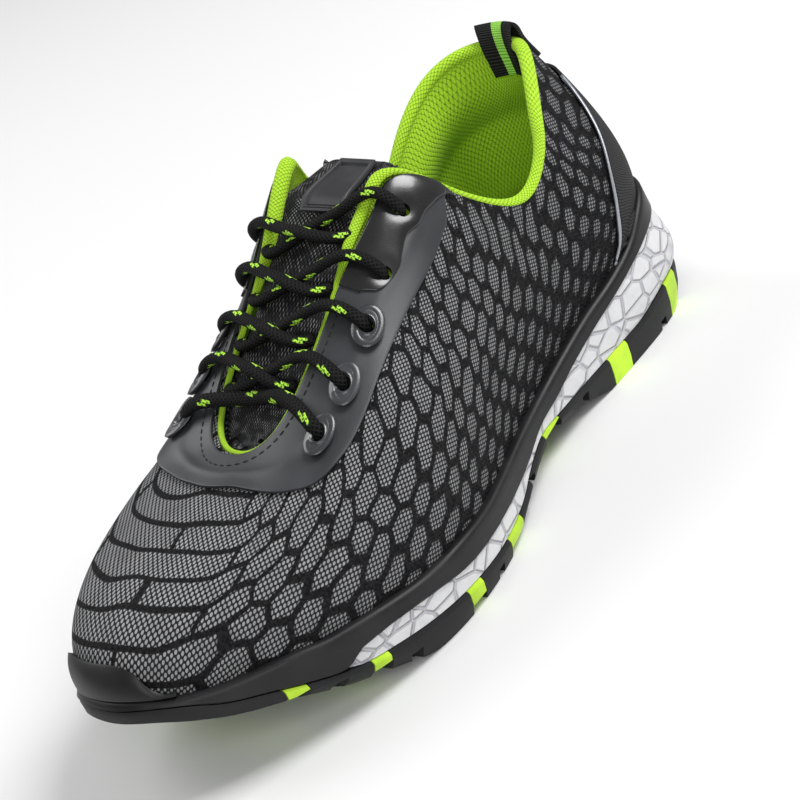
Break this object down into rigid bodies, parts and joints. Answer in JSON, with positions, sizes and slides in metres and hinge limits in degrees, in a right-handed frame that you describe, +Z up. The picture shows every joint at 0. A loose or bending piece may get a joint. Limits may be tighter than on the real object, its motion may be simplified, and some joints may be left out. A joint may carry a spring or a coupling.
{
  "type": "safety sneaker",
  "caption": "Low laced safety sneaker, left foot: hollow knit upper, padded collar, tongue, foam midsole and lugged rubber outsole.",
  "frame": {"origin": "middle of the heel's flat resting face on the floor", "axes": "+X to the outer side of the left foot, toe along -Y, heel along +Y, +Z up"},
  "size_m": [0.1111, 0.3032, 0.1233],
  "materials": {
    "black_rubber": "matt moulded rubber with a fine grain",
    "green_rubber": "matt yellow-green rubber",
    "badge_rubber": "matt moulded rubber, bare",
    "white_foam": "expanded bead foam with a fine crackle of cell lines",
    "black_carrier": "satin moulded plastic",
    "footbed": "brushed textile on foam",
    "knit": "black knit with light grey dots in cells, yellow-green spacer mesh lining",
    "satin_film": "satin dark grey film, stitched",
    "pad_film": "satin moulded film",
    "gloss_moulding": "glossy black moulding",
    "counter_fabric": "fine black mesh over a stiffener",
    "reflective_grey": "silver-grey reflective film",
    "tongue_mesh": "black spacer mesh",
    "webbing": "ribbed webbing, black with a yellow-green centre stripe",
    "lace_cord": "braided round cord with paired yellow-green flecks"
  },
  "bodies": {
    "root": {"eyelet_pad_lateral_1": "pad_film", "eyelet_pad_lateral_2": "pad_film", "eyelet_pad_lateral_3": "pad_film", "eyelet_pad_medial_1": "pad_film", "eyelet_pad_medial_2": "pad_film", "eyelet_pad_medial_3": "pad_film", "eyestay": "satin_film", "grip_bar_1": "green_rubber", "grip_bar_2": "green_rubber", "grip_bar_3": "green_rubber", "grip_bar_4": "green_rubber", "grip_bar_5": "green_rubber", "grip_bar_6": "green_rubber", "grip_bar_7": "green_rubber", "heel_counter": "counter_fabric", "insole": "footbed", "lace_bar": "lace_cord", "lace_cross_1": "lace_cord", "lace_cross_2": "lace_cord", "lace_cross_3": "lace_cord", "lace_cross_4": "lace_cord", "midsole": "white_foam", "outsole": "black_rubber", "pull_loop": "webbing", "reflective_strip_lateral": "reflective_grey", "reflective_strip_medial": "reflective_grey", "sole_rim": "black_carrier", "toe_bumper": "black_rubber", "tongue": "tongue_mesh", "tongue_badge": "badge_rubber", "top_patch_lateral": "gloss_moulding", "top_patch_medial": "gloss_moulding", "upper": "knit"}
  },
  "joints": []
}
